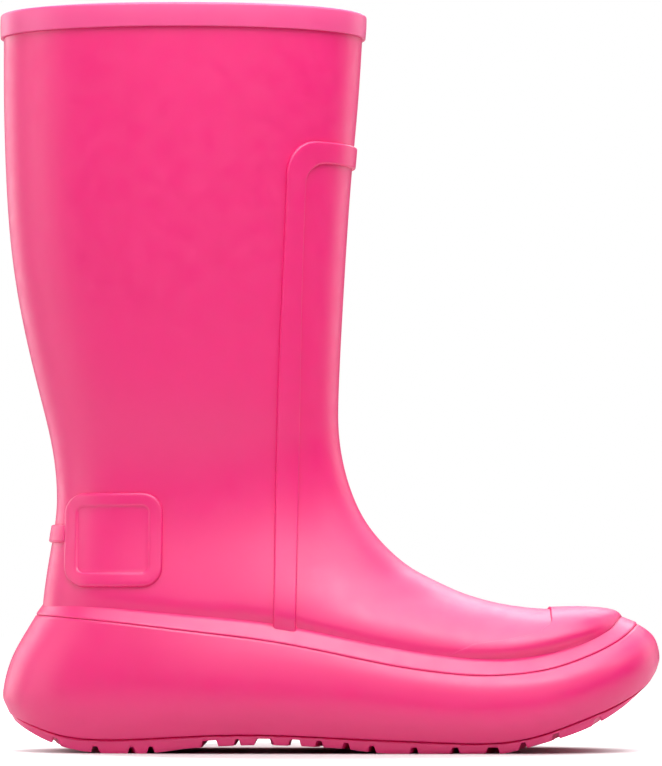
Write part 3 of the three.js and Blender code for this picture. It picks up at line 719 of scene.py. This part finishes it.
def heel_strap():
    """The raised strap from the plaque round the heel to a rounded end on the inner side."""

    def edge(rise):
        """One edge of the strap, rise above its middle line, as places round the heel."""
        start_x, end_x = PLAQUE_X - PLAQUE_HALF_WIDTH + STRAP_TUCK, STRAP_END_X
        t0, a0 = chart(start_x, strap_line(start_x) + rise, -1)
        t1, a1 = chart(end_x, strap_line(end_x) + rise, 1)
        a = np.linspace(a0, a1 - 2 * math.pi, STRAP_STEPS)
        t = np.empty(a.shape)
        for i, angle in enumerate(a):
            low, high = STRAP_T
            for _ in range(30):
                t[i] = (low + high) / 2
                p = upper_point(t[i], wrap(angle))
                low, high = (t[i], high) if p[2] > strap_line(p[0]) + rise else (low, t[i])
        return np.stack([t, wrap(a)], -1)

    first, second = edge(STRAP_HALF), edge(-STRAP_HALF)
    fractions, up = band_section(2 * STRAP_HALF, TRIM_PROUD)
    unrolled = np.unwrap(np.stack([first[:, 1], second[:, 1]]), axis=1)
    places = np.stack([first[:, 0], second[:, 0], unrolled[0], unrolled[1]], -1)
    middle = upper_point(places[:, :2].mean(1), wrap(places[:, 2:].mean(1)))
    run = np.concatenate([[0], np.cumsum(np.linalg.norm(np.diff(middle, axis=0), axis=1))])
    turn = np.linspace(0, math.pi / 2, 10)[1:]
    straight = np.linspace(0, run[-1] - STRAP_HALF, STRAP_STEPS)
    at = np.concatenate([straight, run[-1] - STRAP_HALF * (1 - np.sin(turn))])
    narrow = np.concatenate([np.ones(STRAP_STEPS), np.maximum(np.cos(turn), 0.04)])
    t0, t1, a0, a1 = [np.interp(at, run, places[:, k]) for k in range(4)]
    share = 0.5 + (fractions[None, :] - 0.5) * narrow[:, None]
    t = lerp(t0[:, None], t1[:, None], share)
    a = lerp(a0[:, None], a1[:, None], share)
    out = np.broadcast_to(up[None, :], t.shape)
    beam("heel_strap_raised", upper(t, wrap(a), out), pink_rubber, stands_for=["heel_strap"])


heel_strap()


def rounded_rectangle(inset, count=160):
    """A rounded rectangle about the plaque's centre, drawn in by a distance and evenly sampled."""
    w, h = PLAQUE_HALF_WIDTH - inset, PLAQUE_HALF_HEIGHT - inset
    r = max(PLAQUE_CORNER - inset, 1.2)
    corners = [(w - r, h - r, 0), (-(w - r), h - r, 90), (-(w - r), -(h - r), 180), (w - r, -(h - r), 270)]
    points = [quarter(cx, cz, r, r, start, start + 90, 12) for cx, cz, start in corners]
    outline = np.concatenate(points + [points[0][:1]])
    return resample(outline, count + 1)[:-1]


def plaque():
    """A plain raised plaque with a sunk panel, as rings from its foot over the rim to the middle."""
    rise, dip = PLAQUE_PROUD, PLAQUE_PROUD - PLAQUE_SUNK
    rings = [(0, UNDER), (0, 0.3), (0.08, 0.75), (0.3, 1.15), (0.62, 1.38), (1.1, rise)]
    rings += [(2.4, rise + 0.05), (PLAQUE_BORDER - 1.2, rise + 0.03)]
    edge = PLAQUE_BORDER
    rings += [(edge - 0.55, rise - 0.04), (edge - 0.2, rise - 0.2)]
    rings += [(edge, dip + 0.28), (edge + 0.15, dip + 0.1)]
    rings += [(edge + further, dip) for further in (0.5, 2, 4, 6, 9, 13)]
    grid = []
    for inset, out in rings:
        outline = rounded_rectangle(inset)
        t, a = chart(PLAQUE_X + outline[:, 0], PLAQUE_Z + outline[:, 1], -1)
        grid.append(upper(t, a, np.full(t.shape, float(out))))
    grid = np.array(grid)
    rows, columns = grid.shape[:2]
    faces = quads(rows, columns, False, True)
    faces.append(tuple(reversed(range((rows - 1) * columns, rows * columns))))
    faces.append(tuple(range(columns)))
    make("plain_plaque", grid.reshape(-1, 3), flipped(faces), pink_rubber, stands_for=["heel_plaque"])


plaque()

# The toe guard's rear edge, seen from the side: down from the crest of the toe, then back along the foxing.
TOE_SEAM = [[98.2, 63], [98, 60], [96.5, 56.8], [91, 53.2], [78, 50.4], [63, 48.4], [50, 42.4]]
TOE_EDGE_FADE = 53, 62  # heights between which the step at the rear edge grows to its full size
TOE_EDGE_LEAST = 0.12  # share of the step that is left below them
TOE_FRONT_PROUD = 0.3  # how far the guard stands out where it meets the foxing
TOE_CAP_SUNK = 2.5  # how far its lower edge runs down behind the foxing
TOE_CREST_ANGLE = 0.25  # nearer the crest than this, a side view can't place the rear edge


def toe_cap():
    """The toe guard: its rear edge steps up over the toe, fades on the sides and runs into the foxing."""
    seam = resample(TOE_SEAM, 200)
    seam_t, seam_angle = chart(seam[:, 0], seam[:, 1], -1)
    ok = np.abs(seam_angle) > TOE_CREST_ANGLE
    seam_t, seam_angle = seam_t[ok], np.abs(seam_angle[ok])
    crest_t = 16.0 + (TOE_SEAM[0][0] - STATIONS[16][0]) / (STATIONS[17][0] - STATIONS[16][0])
    columns, rows = 241, 60
    a = seam_angle[-1] * np.sin(np.linspace(-math.pi / 2, math.pi / 2, columns))
    rear = spline([[0, crest_t]] + [[seam_angle[k], seam_t[k]] for k in range(0, len(seam_t), 12)])(np.abs(a))
    low, high = rear.copy(), np.full(columns, float(LAST_T))
    for _ in range(40):
        t = (low + high) / 2
        p = upper_point(t, a)
        above = p[:, 2] > foxing_top(p[:, 0]) - TOE_CAP_SUNK
        low, high = np.where(above, t, low), np.where(above, high, t)
    front = low
    edge_z = upper_point(rear, a)[:, 2]
    step = TOE_CAP_PROUD * lerp(TOE_EDGE_LEAST, 1, smoothstep(edge_z, *TOE_EDGE_FADE))
    s = np.linspace(0, 1, rows)[:, None] ** 1.5
    t, a2 = lerp(rear[None, :], front[None, :], s), np.broadcast_to(a, (rows, columns))
    lip = np.sqrt(np.clip(s / 0.012, 0, 1))
    out = lerp(step[None, :], TOE_FRONT_PROUD, smoothstep(s, 0.3, 1.0)) * lip
    outer = upper(t, a2, out)
    skirt = upper(t[:1], a2[:1], np.full((1, columns), UNDER))
    under = upper(t[-1:], a2[-1:], np.full((1, columns), UNDER))
    grid = np.concatenate([skirt, outer, under])
    make("toe_guard", grid.reshape(-1, 3), quads(rows + 2, columns), pink_rubber, stands_for=["toe_cap"])


toe_cap()

# ------------------------------------------------------------------ the sole

SOLE_ROUND = 220  # samples of each side, from toe to heel


def foxing_end(inside, outside):
    """Where the foxing's top line meets the upper's outline at the toe or the heel."""
    for _ in range(40):
        x = (inside + outside) / 2
        inside, outside = (x, outside) if half_width(x, foxing_top(x), 1) > 1e-3 else (inside, x)
    return inside


def foxing_side(side):
    """One side of the foxing's top line from toe to heel, as plan points."""
    toe, heel = foxing_end(100, 140), foxing_end(-100, -140)
    x = (toe + heel) / 2 + (toe - heel) / 2 * np.cos(np.linspace(0, math.pi, 1600))
    y = side * half_width(x, foxing_top(x), side)
    y[[0, -1]] = 0
    return resample(np.stack([x, y + swing(x)], -1), SOLE_ROUND + 1)


def eased(closed, rounds):
    """A closed run of points, smoothed all the way round."""
    for _ in range(rounds):
        closed = closed * 0.5 + (np.roll(closed, 1, 0) + np.roll(closed, -1, 0)) * 0.25
    return closed


PLAN = eased(np.concatenate([foxing_side(-1), foxing_side(1)[1:-1][::-1]]), 80)
ALONG = np.roll(PLAN, -1, 0) - np.roll(PLAN, 1, 0)
OUT = eased(np.stack([-ALONG[:, 1], ALONG[:, 0]], -1) / np.linalg.norm(ALONG, axis=1, keepdims=True), 30)
OUT /= np.linalg.norm(OUT, axis=1, keepdims=True)
RING = len(PLAN)
OUTER_SIDE = np.arange(SOLE_ROUND + 1)
INNER_SIDE = -OUTER_SIDE % RING


def out_of(points):
    """A sole outline's distance out at each plan point."""
    return spline(points)(PLAN[:, 0])


def ring(distance, height):
    """Points round the foot: the plan moved out by distances, at the heights of a side-view line there."""
    plan = PLAN + OUT * np.asarray(distance)[:, None]
    z = height(plan[:, 0]) if callable(height) else height
    return np.concatenate([plan, np.broadcast_to(z, (RING,))[:, None]], 1)


def section_sweep(name, levels, **options):
    """A closed ring from levels, each an array of RING points, joined in turn."""
    grid = np.stack(levels, 1)
    return sweep(name, grid, pink_rubber, **options)


def raised(points, rise):
    """The points again, higher by rise."""
    moved = points.copy()
    moved[:, 2] += rise
    return moved


GROOVE_IN = 0.4  # depth of the fine groove at a parting line
foxing_out = out_of(FOXING_FOOT_OUT)
foxing_edge = ring(foxing_out, foxing_foot)
foxing_head = ring(-curl_depth(PLAN[:, 0]), foxing_top)


def foxing():
    """The sloped ledge: it meets the wall, falls to an eased edge and turns in to the parting groove."""
    inner = ring(-curl_depth(PLAN[:, 0]) - 2.5, foxing_top)
    levels = [raised(inner, 0.3), raised(foxing_head, 0.05)]
    levels += [lerp(foxing_head, foxing_edge, s) for s in (0.25, 0.5, 0.75)]
    shoulder = lerp(foxing_head, foxing_edge, 0.9)
    turn = raised(ring(foxing_out - GROOVE_IN, foxing_foot), -0.45)
    for s in np.linspace(0, 1, 7):
        levels.append((1 - s) ** 2 * shoulder + 2 * s * (1 - s) * foxing_edge + s * s * turn)
    levels.append(raised(ring(foxing_out - 6, foxing_foot), -0.5))
    section_sweep("foxing_ledge", levels, stands_for=["foxing_band"])


foxing()


def bulge_levels():
    """The midsole's outer wall, from the foxing down to the outsole, as a smooth run of rings."""
    head = raised(ring(foxing_out + 0.1, foxing_foot), -0.75)
    widest = ring(out_of(BELLY_OUT), belly)
    foot = raised(ring(out_of(PARTING_OUT), parting), 0.4)

    def between(a, b, heel_sideways, toe_sideways, upwards):
        sideways = lerp(heel_sideways, toe_sideways, smoothstep(a[:, 0], -110, 110))[:, None]
        plan = lerp(a[:, :2], b[:, :2], sideways)
        return np.concatenate([plan, lerp(a[:, 2:], b[:, 2:], upwards)], 1)

    knots = [
        head,
        between(widest, head, 0.65, 0.46, 0.75),
        between(widest, head, 0.23, 0.12, 0.4),
        widest,
        between(foot, widest, 0.68, 0.68, 0.42),
        foot,
    ]
    lengths = [0.0]
    for a, b in zip(knots, knots[1:]):
        lengths.append(lengths[-1] + float(np.linalg.norm(b - a, axis=1).mean()))
    stack = np.stack(knots)
    fine = np.linspace(0, lengths[-1], 44)
    smooth = np.empty((len(fine), RING, 3))
    for i in range(RING):
        for k in range(3):
            smooth[:, i, k] = spline(np.stack([lengths, stack[:, i, k]], -1))(fine)
    return list(smooth)


def midsole():
    """The rounded rubber cup, with eased lips into the parting lines above and below it."""
    wall = bulge_levels()
    head_in = raised(ring(foxing_out - GROOVE_IN, foxing_foot), -0.55)
    head_deep = raised(ring(foxing_out - 7, foxing_foot), -0.6)
    foot_out = out_of(PARTING_OUT)
    lip = raised(ring(foot_out - 0.25, parting), 0.12)
    foot_in = raised(ring(foot_out - GROOVE_IN - 0.3, parting), 0.1)
    foot_deep = raised(ring(foot_out - 8, parting), 0.1)
    levels = [head_deep, head_in, *wall, lip, foot_in, foot_deep]
    section_sweep("midsole_cup", levels, stands_for=["midsole"])


midsole()

# Grooves across the sole: x at the sole's edge, width, and how far the middle lies ahead of the edge.
GROOVES = [
    [-121.5, 3, -8], [-105, 3, -8], [-89.5, 2.6, -8], [-80.5, 2.6, -8], [-57, 7, 0], [-42.4, 2.4, 0],
    [-34, 7.6, 0], [-18.2, 5, 0], [-6, 3, 6], [6, 3, 8], [17, 3, 10], [36, 3.4, 12], [54, 3.4, 12],
    [70, 5.4, 12], [84, 3, 12], [98.5, 3, 12], [116, 3, 12], [131, 2.4, 10],
]
MIDDLE_GROOVES = [[-104, -84], [20, 118]]
MIDDLE_GROOVE_WIDTH = 5


def groove(x, y):
    """How much of the full groove depth there is at (x, y), from 0 on a lug to 1 in a groove."""
    edge, ease = 45, 0.55
    depth = np.zeros(np.broadcast(x, y).shape)
    off = np.abs(y - swing(x))
    for start, width, lead in GROOVES:
        centre = start + width / 2 + lead * (1 - off / edge)
        centre = centre + 0.5 * np.sin(off * 0.35 + start)
        depth = np.maximum(depth, 1 - smoothstep(np.abs(x - centre), width / 2 - ease, width / 2 + ease))
    for start, end in MIDDLE_GROOVES:
        w = MIDDLE_GROOVE_WIDTH / 2
        inside = smoothstep(x, start - ease, start + ease) * (1 - smoothstep(x, end - ease, end + ease))
        depth = np.maximum(depth, inside * (1 - smoothstep(off, w - ease, w + ease)))
    return depth


def groove_rise(x, y):
    """How far the grooves lift the tread, where the outsole is thick enough for them."""
    room = parting(x) - TREAD_BASE - tread(x)
    return groove(x, y) * np.clip(np.minimum(GROOVE_DEPTH, room), 0, None)


EDGE_EASE = 0.35  # how far the wall's first and last rings draw in, to round its edges
OUTSOLE_IN = 1.3  # how far the outsole's wall stands inside the midsole's at the parting line
OUTSOLE_DROP = 0.5  # how far below the parting line its wall ends
OUTSOLE_ROOF = 1.2  # how far its hidden top reaches above the parting line


def outsole():
    """The treaded sheet: a wall round its edge, and lugs that the grooves cut free, out through the wall."""
    rows, columns = 700, 150
    side_points = []
    for side in (OUTER_SIDE, INNER_SIDE):
        plan, out = PLAN[side], OUT[side]
        tread_out = spline(TREAD_OUT)(plan[:, 0])[:, None]
        part_out = spline(PARTING_OUT)(plan[:, 0])[:, None] - OUTSOLE_IN
        both = np.concatenate([plan + out * tread_out, plan + out * part_out], 1)
        s = np.linspace(0, 1, len(both))
        at = np.linspace(0, 1, rows)
        side_points.append(np.stack([np.interp(at, s, both[:, k]) for k in range(4)], -1))
    outer, inner = side_points
    v = (1 - np.cos(np.linspace(0, math.pi, columns))) / 2
    x = lerp(outer[:, 0][:, None], inner[:, 0][:, None], v)
    y = lerp(outer[:, 1][:, None], inner[:, 1][:, None], v)
    z = tread(x) + groove_rise(x, y)
    underside = np.stack([x, y, z], -1)

    def wall(edge, at):
        """Rings from the tread's edge up to the parting line, following the grooves out through the wall."""
        low_x, low_y, high_x, high_y = edge.T
        foot_z, head_z = tread(low_x), parting(high_x) - OUTSOLE_DROP
        f = np.clip((underside[:, at, 2] - foot_z) / np.maximum(head_z - foot_z, 0.1), 0, 1)
        runs = []
        for s in (0.0, 0.12, 0.45, 0.8, 0.93, 1.0):
            part = f + (1 - f) * s
            px, py = lerp(low_x, high_x, part), lerp(low_y, high_y, part)
            if s in (0.0, 1.0):
                py = py - np.sign(py - swing(px)) * EDGE_EASE
            runs.append(np.stack([px, py, lerp(foot_z, head_z, part)], -1))
        return runs

    left, right = wall(outer, 0), wall(inner, -1)
    underside[:, 0], underside[:, -1] = left[0], right[0]
    roof = [lerp(left[-1], right[-1], s) for s in (0.04, 0.96)]
    for run in roof:
        run[:, 2] = parting(run[:, 0]) + OUTSOLE_ROOF
    grid = [roof[0], *left[::-1][:-1], *[underside[:, c] for c in range(columns)], *right[1:], roof[1]]
    beam("treaded_outsole", np.stack(grid, 1), pink_rubber, stands_for=["outsole"])


outsole()

# ------------------------------------------------------------------ the insole

HEEL_CLEARANCE = 0.6
EDGE_RADIUS = 1.6
CUP_RISE = 1.3
CUP_START, CUP_FULL = 40, 110  # how far behind the origin the heel's cup starts and is full


def insole():
    """One foam insole with a knitted top, a cupped heel and round edges."""
    foot_rise = WALL + BOARD + LINING + 3 * GAP
    inset = WALL + LINING + 4 * GAP
    heel, toe = INSOLE_HEEL_X + HEEL_CLEARANCE, INSOLE_TOE_X
    rows, columns = 220, 40
    x = (heel + toe) / 2 - (toe - heel) / 2 * np.cos(np.linspace(0, math.pi, rows))
    foot = bed_line(x) + foot_rise
    level = foot + INSOLE / 2
    widths = [np.maximum(half_width(x, level, side) - curl(x, level) - inset, 0.0) for side in (-1, 1)]
    taper = np.sqrt(np.clip(1 - ((x - (heel + toe) / 2) / ((toe - heel) / 2)) ** 8, 0, 1))
    sections = []
    for i in range(rows):
        w_out, w_in = widths[0][i] * taper[i] + 0.05, widths[1][i] * taper[i] + 0.05
        v = np.linspace(-1, 1, columns)
        y = np.where(v < 0, v * w_out, v * w_in)
        edge = np.clip(1 - np.abs(v), 0, 1) * (w_out + w_in) / 2
        ease = np.sqrt(np.clip(1 - (1 - np.clip(edge / EDGE_RADIUS, 0, 1)) ** 2, 0, 1))
        cup = CUP_RISE * smoothstep(-x[i], CUP_START, CUP_FULL) * np.abs(v) ** 4
        thick = INSOLE * (0.55 + 0.45 * ease) * (0.25 + 0.75 * taper[i])
        top = foot[i] + thick + cup * ease
        bottom = foot[i] + 0.15 + 0.6 * (1 - ease)
        side_y = y + swing(x[i])
        upper_run = np.stack([np.full(columns, x[i]), side_y, top], -1)
        lower_run = np.stack([np.full(columns, x[i]), side_y, bottom], -1)[::-1]
        sections.append(np.concatenate([upper_run, lower_run]))
    grid = np.stack(sections)
    piece = beam(
        "foam_insole",
        grid,
        insole_knit,
        body=None,
        stands_for=["insole_forepart", "insole_heelpart"],
        slot="insole_foam",
    )
    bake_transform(piece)


insole()

# ------------------------------------------------------------------ floor, light and camera

CENTRE = Vector((0, 0, TOP_Z * MM / 2))
FLOOR_HALF_WIDTH = 12.0
FLOOR_TONE = (0.62, 0.62, 0.62, 1)
FLOOR_TONE_LIGHT = (0.64, 0.64, 0.64, 1)
SHADOW_CORE, SHADOW_REACH = 0.11, 0.17  # radii where the floor starts to glow and where it is all white
CAMERA_DISTANCE, CAMERA_HEIGHT, CAMERA_X = 2.0, 0.06, -0.0002
AIM_HEIGHT = 0.1664
SEEN_WIDTH = 0.3003  # width of the picture at the boot
SENSOR_WIDTH = 36.0


def floor():
    """A pale floor. Only the camera sees its glow, which leaves the shadow under the boot alone."""
    mesh = bpy.data.meshes.new("floor")
    r = FLOOR_HALF_WIDTH
    mesh.from_pydata([(-r, -r, 0), (r, -r, 0), (r, r, 0), (-r, r, 0)], [], [(0, 1, 2, 3)])
    obj = bpy.data.objects.new("floor", mesh)
    bpy.context.collection.objects.link(obj)
    n = Nodes("pale_floor")
    n.mix(n.spread(n.noise(3), 0, 1), FLOOR_TONE, FLOOR_TONE_LIGHT, n.shader.inputs["Base Color"])
    n.shader.inputs["Roughness"].default_value = 0.6
    n.shader.inputs["Specular IOR Level"].default_value = 0.3
    away = n.add("ShaderNodeVectorMath", operation="LENGTH")
    n.link(n.place, away.inputs[0])
    glow = n.add("ShaderNodeMapRange", interpolation_type="SMOOTHSTEP")
    glow.inputs["From Min"].default_value = SHADOW_CORE
    glow.inputs["From Max"].default_value = SHADOW_REACH
    n.link(away.outputs["Value"], glow.inputs["Value"])
    n.shader.inputs["Emission Color"].default_value = (1, 1, 1, 1)
    path = n.add("ShaderNodeLightPath")
    seen = n.add("ShaderNodeMath", operation="MULTIPLY")
    n.link(glow.outputs["Result"], seen.inputs[0])
    n.link(path.outputs["Is Camera Ray"], seen.inputs[1])
    n.link(seen.outputs[0], n.shader.inputs["Emission Strength"])
    mesh.materials.append(n.material)


def softbox(name, place, target, width, height, power):
    """A rectangular light aimed at a target."""
    light = bpy.data.lights.new(name, "AREA")
    light.shape = "RECTANGLE"
    light.size, light.size_y = width, height
    light.energy = power
    obj = bpy.data.objects.new(name, light)
    bpy.context.collection.objects.link(obj)
    obj.location = place
    obj.rotation_euler = (Vector(target) - Vector(place)).to_track_quat("-Z", "Y").to_euler()


def world(camera_level, light_level):
    """White to the camera; a dimmer, even fill for the object."""
    scene_world = bpy.data.worlds.new("studio")
    bpy.context.scene.world = scene_world
    scene_world.use_nodes = True
    tree = scene_world.node_tree
    background = tree.nodes["Background"]
    seen = tree.nodes.new("ShaderNodeBackground")
    seen.inputs["Color"].default_value = (1, 1, 1, 1)
    seen.inputs["Strength"].default_value = camera_level
    background.inputs["Color"].default_value = (1, 1, 1, 1)
    background.inputs["Strength"].default_value = light_level
    path = tree.nodes.new("ShaderNodeLightPath")
    mix = tree.nodes.new("ShaderNodeMixShader")
    tree.links.new(path.outputs["Is Camera Ray"], mix.inputs["Fac"])
    tree.links.new(background.outputs["Background"], mix.inputs[1])
    tree.links.new(seen.outputs["Background"], mix.inputs[2])
    tree.links.new(mix.outputs["Shader"], tree.nodes["World Output"].inputs["Surface"])


def camera():
    """Level with the sole, two metres off, looking slightly up at the middle of the boot."""
    data = bpy.data.cameras.new("camera")
    data.sensor_fit = "HORIZONTAL"
    data.sensor_width = SENSOR_WIDTH
    data.lens = SENSOR_WIDTH * CAMERA_DISTANCE / SEEN_WIDTH
    data.clip_end = 100
    obj = bpy.data.objects.new("camera", data)
    bpy.context.collection.objects.link(obj)
    obj.location = (CAMERA_X, -CAMERA_DISTANCE, CAMERA_HEIGHT)
    aim = Vector((CAMERA_X, 0, AIM_HEIGHT))
    obj.rotation_euler = (aim - obj.location).to_track_quat("-Z", "Y").to_euler()
    bpy.context.scene.camera = obj


# Name, place, target, width, height and power in watts.
LIGHTS = [
    ("overhead", (0, -0.1, 1.3), (0, 0, 0.1), 1.3, 1.3, 17),
    ("near_top", (0.02, -0.45, 0.8), (0, 0, 0.3), 0.8, 0.3, 2.2),
    ("top_front", (0, -0.75, 1.15), (0, 0, 0.2), 1.2, 0.6, 2.6),
    ("front_high", (0, -1.3, 1.15), (0, 0, 0.12), 2.2, 0.9, 3.6),
    ("front_strip", (0.1, -1.55, 0.95), (0, 0, 0.1), 2.6, 0.3, 3),
    ("left_side", (-1.6, -0.4, 0.5), CENTRE, 0.9, 1.4, 7),
    ("left_back", (-1.2, 0.9, 0.6), CENTRE, 0.9, 1.4, 10),
    ("right_back", (1.2, 0.9, 0.6), CENTRE, 0.9, 1.4, 6),
    ("back_top", (0, 1.0, 1.3), (0, 0, 0.1), 1.5, 0.9, 7.7),
    ("back_toe", (0.3, 1.2, 0.9), (0.09, 0, 0.06), 0.7, 0.5, 4.4),
    ("right_top", (1.1, -0.3, 1.2), (0.05, 0, 0.1), 0.9, 0.9, 6),
]

floor()
for light in LIGHTS:
    softbox(*light)
world(camera_level=1.0, light_level=0.02)
camera()
bpy.context.scene.view_settings.view_transform = "Standard"
